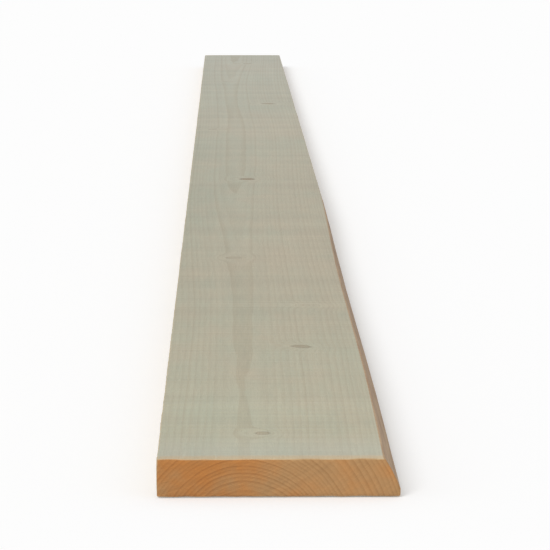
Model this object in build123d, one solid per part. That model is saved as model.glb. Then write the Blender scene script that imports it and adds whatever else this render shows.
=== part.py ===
from build123d import *
import math
import os

# A rough sawn softwood board, lying flat on its wide face with its length along Y.
# It is one piece: what the saws left of a small tapered log. Three of its long edges
# are sawn. The upper right one runs out of the log near the front end, so that the
# round of the log shows there as wane, which narrows and dies out along the board.
# The origin is at the middle of the underside. Millimetres, +Z up, the front end at -Y.

# Sawn section and length
board_length = 4000.0
board_width = 150.0
board_thickness = 25.0
arris_break = 0.6  # how far the sawn edges have lost their sharp corner

# Wane on the upper right edge, measured at the front end
wane_width = 10.0  # taken off the upper face
sawn_edge_below_wane = 5.0  # height of flat sawn edge that is left under it

# The log. The front end is its thin end.
pith_from_centreline = -20.0  # the log's heart lies left of the board's middle
log_taper = 0.005  # growth of the log's radius per millimetre towards the far end
log_swell = 0.9  # how far the radius swells and shrinks along the log
swell_length = 1150.0  # from one swelling to the next
rounds_per_swell = 4  # how many rounds the log's surface passes through in each


def wane_reach():
    """From the log's heart sideways to where its round leaves the upper face, at the front end."""
    return board_width / 2 - wane_width - pith_from_centreline


def pith_height():
    """Height of the log's heart for which its round passes through both borders of the wane."""
    wane_depth = board_thickness - sawn_edge_below_wane
    below_face = (wane_width * (2 * wane_reach() + wane_width) / wane_depth + wane_depth) / 2
    return board_thickness - below_face


def log_radius(along):
    """Radius of the log at a distance from the front end."""
    at_front_end = math.hypot(wane_reach(), board_thickness - pith_height())
    swell = log_swell * math.sin(2 * math.pi * along / swell_length)
    return at_front_end + log_taper * along + swell


def trunk():
    """The log: a smooth skin through rounds, running past both ends of the board."""
    span = swell_length / rounds_per_swell
    rounds = []
    for index in range(-1, math.ceil(board_length / span) + 2):
        along = index * span
        centre = (pith_from_centreline, along - board_length / 2, pith_height())
        plane = Plane(origin=centre, x_dir=(1, 0, 0), z_dir=(0, 1, 0))
        rounds.append(plane * Circle(log_radius(along)))
    return loft(rounds)


def sawn_blank():
    """The four sawn faces and two cross-cut ends, as if the log had been wide enough."""
    blank = Box(board_width, board_length, board_thickness, align=(Align.CENTER, Align.CENTER, Align.MIN))
    return chamfer(blank.edges(), arris_break)


def board():
    """What the saws left of the log."""
    return sawn_blank() & trunk()


os.makedirs("parts", exist_ok=True)
export_step(board(), "parts/board.step")
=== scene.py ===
import math

import bpy
import numpy as np
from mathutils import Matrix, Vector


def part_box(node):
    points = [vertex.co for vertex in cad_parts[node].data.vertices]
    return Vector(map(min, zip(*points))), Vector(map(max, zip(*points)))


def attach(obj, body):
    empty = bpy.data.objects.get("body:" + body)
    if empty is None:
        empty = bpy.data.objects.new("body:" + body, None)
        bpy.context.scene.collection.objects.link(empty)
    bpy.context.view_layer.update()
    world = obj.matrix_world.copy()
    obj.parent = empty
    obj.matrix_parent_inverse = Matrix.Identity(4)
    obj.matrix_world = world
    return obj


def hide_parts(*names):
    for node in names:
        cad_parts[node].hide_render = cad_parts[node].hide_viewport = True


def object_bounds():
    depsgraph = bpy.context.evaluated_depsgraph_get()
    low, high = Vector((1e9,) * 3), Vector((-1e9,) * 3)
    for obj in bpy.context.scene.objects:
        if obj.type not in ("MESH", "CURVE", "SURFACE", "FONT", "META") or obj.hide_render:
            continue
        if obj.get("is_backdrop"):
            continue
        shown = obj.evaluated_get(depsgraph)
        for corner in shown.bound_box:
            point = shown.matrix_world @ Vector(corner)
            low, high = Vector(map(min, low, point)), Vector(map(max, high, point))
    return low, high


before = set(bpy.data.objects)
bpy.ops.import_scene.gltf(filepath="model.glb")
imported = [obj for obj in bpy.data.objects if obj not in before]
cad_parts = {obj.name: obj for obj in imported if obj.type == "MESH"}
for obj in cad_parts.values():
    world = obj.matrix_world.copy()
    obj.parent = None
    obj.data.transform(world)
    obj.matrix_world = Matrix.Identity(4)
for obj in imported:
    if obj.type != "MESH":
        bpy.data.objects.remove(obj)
cad_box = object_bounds()

# The board's body. A softwood board as the frame saw and the cross-cut saw left it: four flat
# faces that meet in torn arrises, and two square ends. It starts as a square blank, gridded
# finely enough to carry the marks of the saws.
blank_low, blank_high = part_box("board")
half_length, half_width, thickness = blank_high.y, blank_high.x, blank_high.z
arris_break = 0.0010
columns, layers = 25, 4  # squares of the grid across the board and up its edges
row_groups, rows_in_group = 30, 50  # rows of the grid along the board, cut in two goes
cuts_at_ends = 3  # further cuts in each square of the grid on the two ends
least_side = 0.01  # sides of the blank that are shorter than this stay whole
same_place = 1e-6
square_on = 0.99  # least cosine for a face that counts as turned straight to an axis


def numbers_of(items, name, width, kind=np.float32):
    """One property of all of a mesh's vertices, edges, faces or corners, as rows of numbers."""
    found = np.empty(len(items) * width, kind)
    items.foreach_get(name, found)
    return found.reshape(-1, width)


def select_in(piece, mode, chosen):
    """In edit mode, select the vertices, edges or faces that a test of the mesh picks."""
    bpy.ops.object.mode_set(mode="EDIT")
    bpy.ops.mesh.select_mode(type=mode)
    bpy.ops.mesh.select_all(action="DESELECT")
    bpy.ops.object.mode_set(mode="OBJECT")
    mesh = piece.data
    items = {"VERT": mesh.vertices, "EDGE": mesh.edges, "FACE": mesh.polygons}[mode]
    items.foreach_set("select", chosen(mesh))
    bpy.ops.object.mode_set(mode="EDIT")


def runs_along(axis, shortest):
    """A test for the edges that run along one axis and are longer than that."""

    def test(mesh):
        ends = numbers_of(mesh.edges, "vertices", 2, np.int32)
        runs = np.abs(np.diff(numbers_of(mesh.vertices, "co", 3)[ends], axis=1))[:, 0]
        return (runs[:, axis] > shortest) & (runs.sum(1) - runs[:, axis] < same_place)

    return test


def faces_an_end(mesh):
    """A test for the faces of the two square ends."""
    return np.abs(numbers_of(mesh.polygons, "normal", 3)[:, 1]) > square_on


def primitive(add, name, **options):
    """One new primitive, alone in the selection, with its place and size in its mesh."""
    bpy.ops.object.select_all(action="DESELECT")
    add(**options)
    piece = bpy.context.object
    piece.name = piece.data.name = name
    bpy.ops.object.transform_apply(location=True, rotation=True, scale=True)
    return piece


board = primitive(
    bpy.ops.mesh.primitive_cube_add,
    "sawn_board",
    size=1.0,
    location=(blank_low + blank_high) / 2,
    scale=blank_high - blank_low,
)
bpy.ops.object.mode_set(mode="EDIT")
bpy.ops.mesh.select_all(action="SELECT")
bpy.ops.mesh.bevel(offset=arris_break, segments=1, affect="EDGES")
for axis, squares in ((0, columns), (2, layers), (1, row_groups), (1, rows_in_group)):
    select_in(board, "EDGE", runs_along(axis, least_side))
    bpy.ops.mesh.subdivide(number_cuts=squares - 1)
select_in(board, "FACE", faces_an_end)
bpy.ops.mesh.subdivide(number_cuts=cuts_at_ends)
bpy.ops.object.mode_set(mode="OBJECT")

# The marks of the saws. Each stroke of the frame saw leaves a shallow ridge right across the
# board, the blade wanders a little over longer stretches, and the arrises are torn where the
# teeth came out. All of it is cut into the blank, so nothing stands outside its sawn size.
stroke = 0.0125  # how far the board moves at each stroke of the saw
texture_wave = 0.6283  # the length of one wave of a banded texture, in its own units
stroke_depth, stroke_size = 0.00028, (0.9, stroke / texture_wave, 0.35)
wander_depth, wander_size = 0.0005, (0.25, 0.11, 0.05)
cross_cut_depth, cross_cut_size = 0.0004, (0.007, 0.007, 0.012)
tear_depth, tear_size = 0.0008, (0.006, 0.009, 0.006)
marks_on_edges = 0.2  # the long edges were cut by a smoother saw
near_arris = 1.5 * arris_break  # the broken arrises lie nearer than this to two faces at once


def inside_blank(x, y, z):
    """How far places lie inside the blank's long edges, its wide faces and its ends."""
    inside_face = np.minimum(z - blank_low.z, blank_high.z - z)
    return np.stack([half_width - np.abs(x), inside_face, half_length - np.abs(y)])


def on_arris(*places):
    """1 on the broken arrises, and 0 elsewhere."""
    return (np.sort(inside_blank(*places), axis=0)[1] < near_arris) * 1.0


def on_wide_face(*places):
    """1 on the two wide faces, and less elsewhere."""
    return np.where(inside_blank(*places)[1] < same_place, 1.0, marks_on_edges)


def on_end(*places):
    """1 on the two ends, and 0 elsewhere."""
    return (inside_blank(*places)[2] < same_place) * 1.0


def weighted(piece, name, weigh):
    """The name of a new vertex group with the weights that a test of the places gives."""
    group = piece.vertex_groups.new(name=name)
    weights = weigh(*numbers_of(piece.data.vertices, "co", 3).T)
    for weight in np.unique(weights[weights > 0]):
        group.add(np.flatnonzero(weights == weight).tolist(), float(weight), "REPLACE")
    return group.name


def wear(piece, name, depth, size, kind="CLOUDS", group="", **settings):
    """Cut a texture into the surface. One of its own units is that long along x, y and z."""
    texture = bpy.data.textures.new(name, kind)
    for setting, value in {"noise_scale": 1.0, **settings}.items():
        setattr(texture, setting, value)
    bpy.ops.object.select_all(action="DESELECT")
    bpy.ops.object.empty_add(location=(0, 0, 0))
    space = bpy.context.object
    space.scale = size
    bpy.context.view_layer.objects.active = piece
    piece.select_set(True)
    modifier = piece.modifiers.new(name, "DISPLACE")
    modifier.texture, modifier.texture_coords = texture, "OBJECT"
    modifier.texture_coords_object = space
    modifier.strength, modifier.mid_level, modifier.vertex_group = depth, 1.0, group
    bpy.context.view_layer.update()
    bpy.ops.object.modifier_apply(modifier=modifier.name)
    bpy.data.objects.remove(space)


arrises = weighted(board, "arrises", on_arris)
wide_faces = weighted(board, "wide faces", on_wide_face)
ends = weighted(board, "ends", on_end)
banded = {"wood_type": "BANDNOISE", "noise_basis_2": "SIN", "turbulence": 7.0, "noise_scale": 3.0}
wear(board, "strokes", stroke_depth, stroke_size, kind="WOOD", group=wide_faces, **banded)
wear(board, "wander of the blade", wander_depth, wander_size, noise_depth=1)
wear(board, "cross-cut", cross_cut_depth, cross_cut_size, group=ends, noise_depth=2)
wear(board, "torn arrises", tear_depth, tear_size, group=arrises, noise_depth=2)

# The wane. The board was sawn from a small log that grows thicker towards the far end, and
# its upper right edge runs out of the log at the front. So the gridded blank is cut to the
# log's round, which leaves that edge smooth and rounded where the bark used to be.
wane_width = 0.010  # taken off the upper face at the front end
sawn_edge_below_wane = 0.005  # what is left there of the board's right edge
heart_x = -0.020  # the log's heart lies left of the board's middle
taper = 0.005  # what the log's radius gains in each metre
swell, swell_length = 0.0009, 1.150  # what it also gains and loses again, and over what length
swelling_depth, swelling_size = 0.0006, (0.02, 0.09, 0.02)
log_overhang = 0.3  # how far the log runs past each end of the board
log_sides, log_spans = 360, 92
near_round = 1e-4  # vertices nearer than this to a round of the log belong to it
sharpest_smooth = math.radians(30)
half_log = half_length + log_overhang

# The log's round at the front end passes through both edges of the wane there
wane_depth = thickness - sawn_edge_below_wane
reach = half_width - wane_width - heart_x
heart_z = thickness - (wane_width * (2 * reach + wane_width) / wane_depth + wane_depth) / 2
front_radius = math.hypot(reach, thickness - heart_z)


def log_radius(y):
    """Radius of the log at a place along the board."""
    from_front = y + half_length
    swelling = swell * math.sin(2 * math.pi * from_front / swell_length)
    return front_radius + taper * from_front + swelling


log = primitive(
    bpy.ops.mesh.primitive_cylinder_add,
    "log",
    vertices=log_sides,
    radius=front_radius,
    depth=2 * half_log,
    rotation=(math.pi / 2, 0, 0),
    location=(heart_x, 0, heart_z),
)
select_in(log, "EDGE", runs_along(1, shortest=half_log))
bpy.ops.mesh.subdivide(number_cuts=log_spans - 1)
bpy.ops.object.mode_set(mode="OBJECT")
vertices_y = numbers_of(log.data.vertices, "co", 3)[:, 1]
for round_y in np.linspace(-half_log, half_log, log_spans + 1):
    select_in(log, "VERT", lambda mesh: np.abs(vertices_y - round_y) < near_round)
    growth = log_radius(round_y) / front_radius
    heart = (heart_x, round_y, heart_z)
    bpy.ops.transform.resize(value=(growth, 1, growth), center_override=heart)
    bpy.ops.object.mode_set(mode="OBJECT")
wear(log, "swellings under the bark", swelling_depth, swelling_size, noise_depth=1)
bpy.ops.object.select_all(action="DESELECT")
bpy.context.view_layer.objects.active = board
board.select_set(True)
to_log = board.modifiers.new("cut to the log", "BOOLEAN")
to_log.operation, to_log.solver, to_log.object = "INTERSECT", "EXACT", log
bpy.ops.object.modifier_apply(modifier=to_log.name)
bpy.data.objects.remove(log)
bpy.ops.object.shade_smooth_by_angle(angle=sharpest_smooth)

# The board's skin laid flat, for pictures that are made of its finish. Each long side is cut
# in three lengths, which lie side by side, and the two ends lie beyond them, enlarged.
map_lengths = 3
map_gap = 0.006
end_scale = 3.5  # how much larger than life the ends are laid
one_length = 2 * half_length / map_lengths
map_side = one_length + 2 * map_gap
skin = board.data
normals = numbers_of(skin.polygons, "normal", 3)
facing = np.abs(normals).argmax(1)  # 0 a long edge, 1 an end, 2 a wide face
towards_plus = normals[np.arange(len(normals)), facing] > 0
which_length = (numbers_of(skin.polygons, "center", 3)[:, 1] + half_length) // one_length
which_length = np.clip(which_length, 0, map_lengths - 1)
corners_of = numbers_of(skin.polygons, "loop_total", 1, np.int32)[:, 0]
facing, towards_plus, which_length = (
    np.repeat(values, corners_of) for values in (facing, towards_plus, which_length)
)
vertex_of = numbers_of(skin.loops, "vertex_index", 1, np.int32)[:, 0]
corner_x, corner_y, corner_z = numbers_of(skin.vertices, "co", 3)[vertex_of].T
flat = np.zeros((len(corner_x), 2), np.float32)
strips = (  # which way the side faces, the place across its strip, and the strip's width
    (2, True, half_width - corner_x, 2 * half_width),
    (2, False, half_width + corner_x, 2 * half_width),
    (0, True, corner_z, thickness),
    (0, False, thickness - corner_z, thickness),
)
room = map_side - thickness * end_scale - map_gap * (len(strips) * map_lengths + 2)
strip_scale = room / (map_lengths * sum(width for *_, width in strips))
along_strip = corner_y + half_length - which_length * one_length + map_gap
laid = map_gap
for axis, plus, crosswise, width in strips:
    for nth_length in range(map_lengths):
        here = (facing == axis) & (towards_plus == plus) & (which_length == nth_length)
        flat[here] = np.stack([along_strip, laid + crosswise * strip_scale], 1)[here]
        laid += width * strip_scale + map_gap
for plus, sideways in ((False, half_width + corner_x), (True, half_width - corner_x)):
    here = (facing == 1) & (towards_plus == plus)
    start_x = map_gap + plus * (2 * half_width * end_scale + map_gap)
    flat[here] = np.stack([start_x + sideways * end_scale, laid + corner_z * end_scale], 1)[here]
skin.uv_layers.new(name="OFBake").uv.foreach_set("vector", (flat / map_side).ravel())

# The wood of the board: spruce, cut flat through its growth rings, with small tight knots.
# The rings, knots and heart lie where the log had them, so the lines on the faces meet the
# rings on the ends. The upper face is greyer than the rest, partly weathered and partly a painted
# sheen of the pale sky at grazing view, and the cut ends are orange-brown.


class Value:
    """A number or vector that varies over a surface: a socket, with Math nodes for its sums."""

    def __init__(self, tree, socket=None):
        self.tree, self.socket = tree, socket

    def fill(self, node, sockets):
        """Give a node's sockets their values or links."""
        for name, value in sockets.items():
            if isinstance(value, Value):
                self.tree.links.new(value.socket, node.inputs[name])
            else:
                node.inputs[name].default_value = value

    def node(self, kind, settings=None, sockets=None, output=0):
        """A node of that kind: its settings first, then the values or links of its sockets."""
        made = self.tree.nodes.new(kind)
        for name, setting in (settings or {}).items():
            if name == "stops":
                ramp = made.color_ramp
                ramp.interpolation = "CONSTANT"
                ramp.elements.remove(ramp.elements[1])
                ramp.elements[0].position, ramp.elements[0].color = setting[0]
                for position, colour in setting[1:]:
                    ramp.elements.new(position).color = colour
            else:
                setattr(made, name, setting)
        self.fill(made, sockets or {})
        return Value(self.tree, made.outputs[output])

    def output(self, name):
        """Another output of the same node."""
        return Value(self.tree, self.socket.node.outputs[name])

    def math(self, operation, *others):
        """A Math node that starts from this number."""
        numbers = dict(enumerate((self, *others)))
        return self.node("ShaderNodeMath", {"operation": operation}, numbers)

    def __add__(self, other):
        return self.math("ADD", other)

    def __sub__(self, other):
        return self.math("SUBTRACT", other)

    def __rsub__(self, other):
        return self.node("ShaderNodeMath", {"operation": "SUBTRACT"}, {0: other, 1: self})

    def __mul__(self, other):
        return self.math("MULTIPLY", other)

    def __truediv__(self, other):
        return self.math("DIVIDE", other)

    def __pow__(self, power):
        return self.math("POWER", power)

    def __abs__(self):
        return self.math("ABSOLUTE")

    __radd__, __rmul__ = __add__, __mul__

    def sine(self):
        return self.math("SINE")

    def rise(self, low, high):
        """0 below low, 1 above high, and smooth between them."""
        sockets = {"Value": self, "From Min": low, "From Max": high}
        return self.node("ShaderNodeMapRange", {"interpolation_type": "SMOOTHSTEP"}, sockets)

    def fall(self, low, high):
        """1 below low, 0 above high, and smooth between them."""
        return 1.0 - self.rise(low, high)

    def parts(self):
        """The three numbers of a vector or colour."""
        return [self.node("ShaderNodeSeparateXYZ", {}, {0: self}, part) for part in range(3)]

    def scaled(self, amount):
        """This vector or colour, multiplied by a number."""
        sockets = {0: self, "Scale": amount}
        return self.node("ShaderNodeVectorMath", {"operation": "SCALE"}, sockets)

    def noise(self, *waves, detail=2.0, roughness=0.5):
        """Soft noise from -1 to 1 at this place, with waves that long along x, y and z."""
        at = self.node("ShaderNodeVectorMath", {"operation": "DIVIDE"}, {0: self, 1: waves})
        sockets = {"Vector": at, "Scale": 1.0, "Detail": detail, "Roughness": roughness}
        return self.node("ShaderNodeTexNoise", {}, sockets) * 2.0 - 1.0

    def noise_of(self, detail=2.0, roughness=0.5):
        """Soft noise from -1 to 1 that depends on this number alone."""
        sockets = {"W": self, "Scale": 1.0, "Detail": detail, "Roughness": roughness}
        return self.node("ShaderNodeTexNoise", {"noise_dimensions": "1D"}, sockets) * 2.0 - 1.0

    def blend(self, one, other):
        """From one colour to another as this number goes from 0 to 1."""
        return self.node("ShaderNodeMix", {"data_type": "RGBA"}, {0: self, 6: one, 7: other}, 2)


def distance(*offsets):
    """How far away a place is whose offsets square to each other are these."""
    return sum(offset * offset for offset in offsets) ** 0.5


def paint(red, green, blue):
    """A colour given as it shows on a screen, 0 to 255."""
    shares = [c / 255 for c in (red, green, blue)]
    return (*[c / 12.92 if c <= 0.04045 else ((c + 0.055) / 1.055) ** 2.4 for c in shares], 1.0)


def new_material(name):
    """A material, its Principled shader, and a value to start its sums from."""
    material = bpy.data.materials.new(name)
    material.use_nodes = True
    return material, material.node_tree.nodes["Principled BSDF"], Value(material.node_tree)


# The wood's pattern has all its lengths in millimetres
mm = 1000  # millimetres in a metre
softwood, wood_shader, wood = new_material("sawn softwood")
place = wood.node("ShaderNodeTexCoord", output="Object").scaled(mm)
x, y, z = place.parts()
facing_x, facing_y, facing_z = wood.node("ShaderNodeTexCoord", output="Normal").parts()
length, height = mm * 2 * half_length, mm * thickness
heart_across, heart_up = mm * heart_x, mm * heart_z
front_round, swell_step = mm * front_radius, mm * swell_length
upper_face = height - heart_up
along = y + length / 2

# Knots: each stretch of the board has one branch, from the heart outwards. Its lean, where it
# leaves the heart, its darkness and its radius are looked up by the place along the board.
branch_rise = 0.35  # branches climb towards the thin end as they go out
branch_at_heart = 0.3  # a branch's radius at the heart, as a share of that at the upper face
bumpiness = 0.7  # how far a branch's side lies in or out of its round
largest_radius = 10  # what the lookup's full alpha stands for
knots = (  # end of the stretch, lean in degrees, place on the upper face, radius, darkness
    (-1760, 11, -1920, 4.5, 0.50),
    (-1470, 37, -1580, 5.0, 0.60),
    (-1230, 44, -1372, 5.0, 0.10),
    (-700, -5, -1072, 7.0, 0.30),
    (0, 15, -372, 8.0, 1.00),
    (520, -32, 300, 4.5, 0.40),
    (1020, 44, 760, 6.0, 0.70),
    (1500, -12, 1240, 4.5, 0.40),
    (2000, 27, 1730, 6.0, 0.70),
)
stops, stretch_start = [], 0.0
for stretch_end, lean, at_face, radius, darkness in knots:
    lean = math.radians(lean)
    leaves_heart = (at_face + upper_face / math.cos(lean) * branch_rise) / length + 0.5
    looks = (math.sin(lean) / 2 + 0.5, darkness, leaves_heart, radius / largest_radius)
    stops.append((stretch_start, looks))
    stretch_start = stretch_end / length + 0.5
lookup = wood.node("ShaderNodeValToRGB", {"stops": stops}, {"Fac": along / length})
lean_sine, darkness, leaves_heart = lookup.parts()
lean_sine = lean_sine * 2.0 - 1.0
lean_cosine = (1.0 - lean_sine * lean_sine) ** 0.5
branch_radius = lookup.output("Alpha") * largest_radius

# Rings: how far out from the wandering heart a place was when it grew, at the log's size at the
# front. The height stays inside the saw marks, which would cut the flat arches into beads.
ring_width = 2.7
rich_years, rich_years_apart = 0.9, 8.5  # wider and narrower rings take turns
deepest_mark = 0.8
heart_sways, sway_length, sway_start = 3.0, 290, 0.6  # to the left and right
heart_lifts, lift_length, lift_start = 1.2, 370, 2.1  # up and down
long_waves, short_waves = 2.0, 0.3
bulge, bulge_narrowness = 5.0, 0.16  # of the rings round a knot
below_marks = z.math("MAXIMUM", deepest_mark).math("MINIMUM", height - deepest_mark)
sway = heart_sways * (y / sway_length + sway_start).sine()
lift = heart_lifts * (y / lift_length + lift_start).sine()
from_heart_x = x - heart_across - sway
from_heart_z = below_marks - heart_up - lift
grown = distance(from_heart_x, from_heart_z) * front_round / (along * taper + front_round)
grown = grown + long_waves * place.noise(45, 830, 45, detail=1.0)
grown = grown + short_waves * place.noise(9, 100, 9, detail=1.0)
beside_branch = from_heart_x * lean_cosine - from_heart_z * lean_sine
outwards = from_heart_x * lean_sine + from_heart_z * lean_cosine
branch_tilt = math.cos(math.atan(branch_rise))
before_branch = (along - leaves_heart * length + outwards * branch_rise) * branch_tilt
from_branch = distance(beside_branch, before_branch)
from_branch = from_branch + bumpiness * place.noise(4.5, 4.5, 4.5, detail=1.0)
thickening = outwards / upper_face * (1 - branch_at_heart) + branch_at_heart
in_branches = from_branch / (branch_radius * thickening)
grown = grown - bulge * (in_branches * in_branches * -bulge_narrowness).math("EXPONENT")
years = grown / ring_width + rich_years * (grown / rich_years_apart).sine()

# Latewood: each ring darkens towards its outer side and ends sharply, some years more so
season, year = years.math("FRACT"), years.math("FLOOR")
harshness = wood.node("ShaderNodeTexWhiteNoise", {"noise_dimensions": "1D"}, {"W": year})
latewood = season.rise(0.30, 0.95) * season.fall(0.95, 1.0) * (harshness * 0.7 + 0.3)

# Faces: the sawn ends, the greyer upper face, the torn arrises, and the round under the bark.
# The first three go by the cosine of the surface's turn, the last by its depth in the log.
end = abs(facing_y).rise(0.45, 0.75)
squarest = abs(facing_x).math("MAXIMUM", abs(facing_y)).math("MAXIMUM", abs(facing_z))
arris = squarest.fall(0.80, 0.90)
upper = facing_z.rise(0.3, 0.7)
swelling = mm * swell * (along * (2 * math.pi / swell_step)).sine()
log_surface = along * taper + swelling + front_round
under_bark = (distance(x - heart_across, z - heart_up) - log_surface).rise(-1.3, -0.8)
under_bark = under_bark * (1.0 - end)
sawn = (1.0 - under_bark) * (1.0 - end)

# Torn fibres, the streaks and patches of the wood's tone, and the bast that the bark left
fibres = place.noise(1.1, 28, 1.1, detail=3.0, roughness=0.65)
tufts = place.noise(1.8, 8, 1.8).rise(0.1, 0.6)
streaks = place.noise(9, 600, 9, detail=1.0)
patches = place.noise(80, 280, 80)
blotches = place.noise(16, 60, 16)
warmth = (place.noise(140, 330, 60) * 0.7 + blotches * 0.4 + x / 1500).rise(-0.6, 0.6)
bast = place.noise(3.3, 80, 3.3, detail=4.0, roughness=0.6)

# Lines of the frame saw's teeth, which run a little askew and come and go, broad bands of its
# strokes, and on the ends arcs round the hub of the cross-cut saw
slope, wobble = 0.03, 2.0
saw_hub_x, saw_hub_z, hub_wobble = -130.0, 260.0, 3.0
arc_spacing = 2.9
askew = slope * x + wobble * place.noise(250, 50, 250, detail=1.0)
skewed = wood.node("ShaderNodeCombineXYZ", {}, {0: x, 1: y + askew, 2: z})
bands = skewed.noise(700, 60, 700)
teeth = skewed.noise(250, 6.5, 250, detail=3.0, roughness=0.55)
teeth = teeth * (place.noise(50, 90, 50, detail=1.0).rise(-0.5, 0.5) * 0.8 + 0.2)
from_saw_hub = distance(x - saw_hub_x, z - saw_hub_z) + hub_wobble * patches
arcs = (from_saw_hub / arc_spacing).noise_of(detail=4.0, roughness=0.6)

# Painted light along the upper face: the front stretch is paler as a painted pool of lamp light,
# and the far stretch paler and greyer as a painted sheen of the sky at grazing view. The right
# half is a little paler.
# Close to both ends the board has dried out, with fresh fibres torn up along the cut.
front_light_pool = along.fall(0, 900)
far_sheen_paling = along.rise(1500, 3000)
paler_right = x.rise(-75, 0)
painted_far_sheen = (along / length) ** 1.3 * 0.55
from_end = length / 2 - abs(y) + 4.0 * tufts + 3.0 * fibres
dried = from_end.fall(20, 90)
fresh_edge = from_end.fall(4, 13)

# Parts of a knot, by the distance from its middle in its own radii
ring_turn = 16.0  # in radians, over one radius of the knot
knot = in_branches.fall(0.85, 1.05)
knot_rim = in_branches.rise(0.7, 0.95) * in_branches.fall(1.0, 1.35)
knot_halo = in_branches.rise(0.9, 1.3) * in_branches.fall(1.3, 2.6)
knot_rings = (in_branches * ring_turn).sine() * 0.5 + 0.5

# Colours. The number before each blend is the most that it takes of its second colour.
cool_grey, warm_grey, sheen_grey = paint(172, 173, 149), paint(183, 171, 145), paint(175, 178, 170)
grey_latewood, dry_grey = paint(153, 137, 107), paint(178, 182, 168)
end_fibres, arris_fibres_and_highlight = paint(198, 172, 134), paint(200, 176, 138)
fresh_wood, fresh_latewood = paint(196, 174, 136), paint(166, 132, 88)
golden_cut, golden_latewood = paint(174, 134, 89), paint(134, 92, 51)
ruddy_cut, ruddy_latewood = paint(173, 115, 59), paint(133, 79, 36)
light_bast, dark_bast = paint(178, 148, 110), paint(150, 116, 82)
knot_wood, knot_latewood, knot_bark = paint(150, 127, 93), paint(110, 89, 62), paint(96, 79, 56)
# The upper face's grey is partly weathering and partly a painted sheen, the pale sky's grazing
# reflection put into its colour.
greyed_and_sheen = warmth.blend(cool_grey, warm_grey)
# Painted sheen: towards the far end the upper face turns greyer, as the sky's grazing reflection
# would make it.
greyed_and_sheen = painted_far_sheen.blend(greyed_and_sheen, sheen_grey)
greyed_and_sheen = (latewood * 0.31).blend(greyed_and_sheen, grey_latewood)
greyed_and_sheen = (dried * 0.35).blend(greyed_and_sheen, dry_grey)
greyed_and_sheen = (fresh_edge * 0.65).blend(greyed_and_sheen, end_fibres)
fresh = (latewood * 0.40).blend(fresh_wood, fresh_latewood)
golden_end = (latewood * 0.45).blend(golden_cut, golden_latewood)
ruddy_end = (latewood * 0.45).blend(ruddy_cut, ruddy_latewood)
inner_bark = bast.rise(-0.35, 0.4).blend(light_bast, dark_bast)
branch_wood = (knot_rings * 0.6).blend(knot_wood, knot_latewood)
ruddiness = (patches * 0.7 + blotches * 0.8 - x / 200 + 0.45).rise(0.0, 1.0)
colour = upper.blend(fresh, greyed_and_sheen)
colour = end.blend(colour, ruddiness.blend(golden_end, ruddy_end))
colour = (knot * darkness * 0.80).blend(colour, branch_wood)
colour = (knot_rim * darkness * 0.50).blend(colour, knot_bark)
# Along the arrises the colour turns paler: partly torn fibres, partly a painted highlight where
# the broken arris would catch the lamp.
colour = (arris * (tufts * 0.3 + 0.5)).blend(colour, arris_fibres_and_highlight)
colour = under_bark.blend(colour, inner_bark)

# Tone: by what share each mark lightens or darkens the wood
tone_on_sawn = teeth * 0.14 + tufts * 0.08 + bands * 0.12 + knot_halo * 0.05
tone_on_end = arcs * 0.09 + blotches * 0.20
# Painted light in the tone: the front stretch is lifted as a pool of lamp light, and the far
# stretch as the sky's grazing sheen.
tone = 0.925 + front_light_pool * 0.125 + far_sheen_paling * 0.055 + paler_right * 0.02
tone = tone + patches * 0.07 + streaks * 0.05 + fibres * 0.12
tone = tone + tone_on_sawn * sawn + tone_on_end * end

# Relief: how many millimetres each mark stands up, for the shader's bumps
relief_on_sawn = teeth * 0.42 + tufts * (knot_halo * 0.3 + 0.18) + latewood * 0.03
relief_on_end = arcs * 0.22 + latewood * 0.05
relief = relief_on_sawn * sawn + relief_on_end * end
relief = relief + bast * under_bark * 0.25 + fibres * 0.12
wood_finish = {
    "Base Color": colour.scaled(tone),
    "Normal": wood.node("ShaderNodeBump", {}, {"Height": relief, "Distance": 1 / mm}),
    "Roughness": 0.85,
    "Specular IOR Level": 0.3,
    "Sheen Weight": 0.15,
    "Sheen Roughness": 0.5,
}
wood.fill(wood_shader, wood_finish)
board.data.materials.clear()
board.data.materials.append(softwood)
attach(board, "root")
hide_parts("board")

# The floor. A pale, matt sheet that the board lies on, so large that no edge of it shows.
# To the camera it is nearly white, and it keeps the board's shadow.
floor_side = 80.0
floor_grey = (0.82, 0.82, 0.82, 1.0)
whitening = (0.245, 0.245, 0.245, 1.0)
black = (0.0, 0.0, 0.0, 1.0)


def seen(start):
    """1 for rays that see the background, and 0 for those that only gather its light."""
    kinds = ("Is Camera Ray", "Is Glossy Ray", "Is Transmission Ray")
    direct, glossy, through = (start.node("ShaderNodeLightPath", output=kind) for kind in kinds)
    return direct.math("MAXIMUM", glossy).math("MAXIMUM", through)


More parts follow.
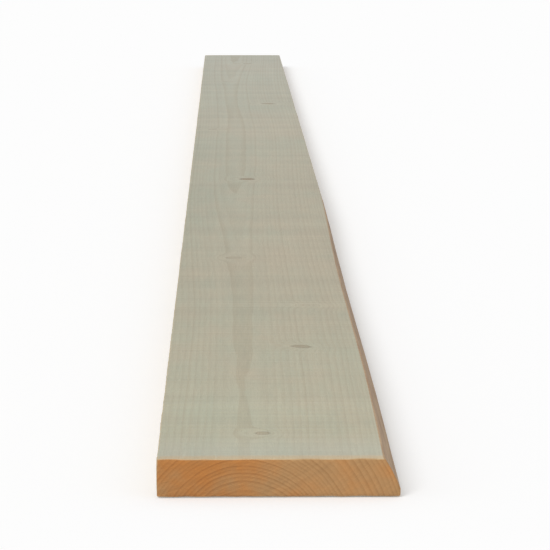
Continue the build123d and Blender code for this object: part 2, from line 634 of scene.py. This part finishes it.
floor = primitive(
    bpy.ops.mesh.primitive_plane_add, "floor", size=floor_side, location=(0, 0, 0)
)
pale_sheet, sheet_shader, sheet = new_material("pale floor")
sheet_finish = {
    "Base Color": floor_grey,
    "Roughness": 1.0,
    "Specular IOR Level": 0.0,
    "Emission Color": seen(sheet).blend(black, whitening),
    "Emission Strength": 1.0,
}
sheet.fill(sheet_shader, sheet_finish)
floor.data.materials.append(pale_sheet)
floor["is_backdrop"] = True

# The light. A pale sky all round, and one large soft lamp at the front left, which lights the
# front end and skims along the upper face, where it brings out the marks of the saws.
sky_light, sky_as_seen = 0.60, 0.98
white = (1.0, 1.0, 1.0, 1.0)
lamp_turn = (math.radians(54), 0, math.radians(-32))
lamp_strength, lamp_breadth = 1.6, math.radians(25)
sky = bpy.data.worlds.new("pale sky")
bpy.context.scene.world = sky
sky.use_nodes = True
air = Value(sky.node_tree)
strength = seen(air) * (sky_as_seen - sky_light) + sky_light
air.fill(sky.node_tree.nodes["Background"], {"Color": white, "Strength": strength})
bpy.ops.object.select_all(action="DESELECT")
bpy.ops.object.light_add(type="SUN", rotation=lamp_turn)
lamp = bpy.context.object
lamp.name = lamp.data.name = "soft lamp"
lamp.data.energy, lamp.data.angle = lamp_strength, lamp_breadth

# The camera. It stands before the front end, a little left of the board's middle and a
# forearm's length above it, and looks along the board. The frame is taken as 550 x 550.
frame_pixels, focal_pixels = 550, 2849
before_front, above_floor, left_of_middle = 1.704, 0.375, 0.031
looks_down, turned_right = math.radians(7.93), math.radians(0.97)
sensor_width = 36.0
farthest_seen = 200.0
bpy.ops.object.camera_add(
    location=(-left_of_middle, -half_length - before_front, above_floor),
    rotation=(math.pi / 2 - looks_down, 0, -turned_right),
)
camera = bpy.context.object
camera.data.sensor_width = sensor_width
camera.data.lens = sensor_width * focal_pixels / frame_pixels
camera.data.clip_end = farthest_seen
bpy.context.scene.camera = camera
bpy.context.scene.view_settings.view_transform = "Standard"

visual_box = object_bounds()
boxes = {"cad": cad_box, "visual": visual_box}
boxes = {name: [list(corner) for corner in box] for name, box in boxes.items()}
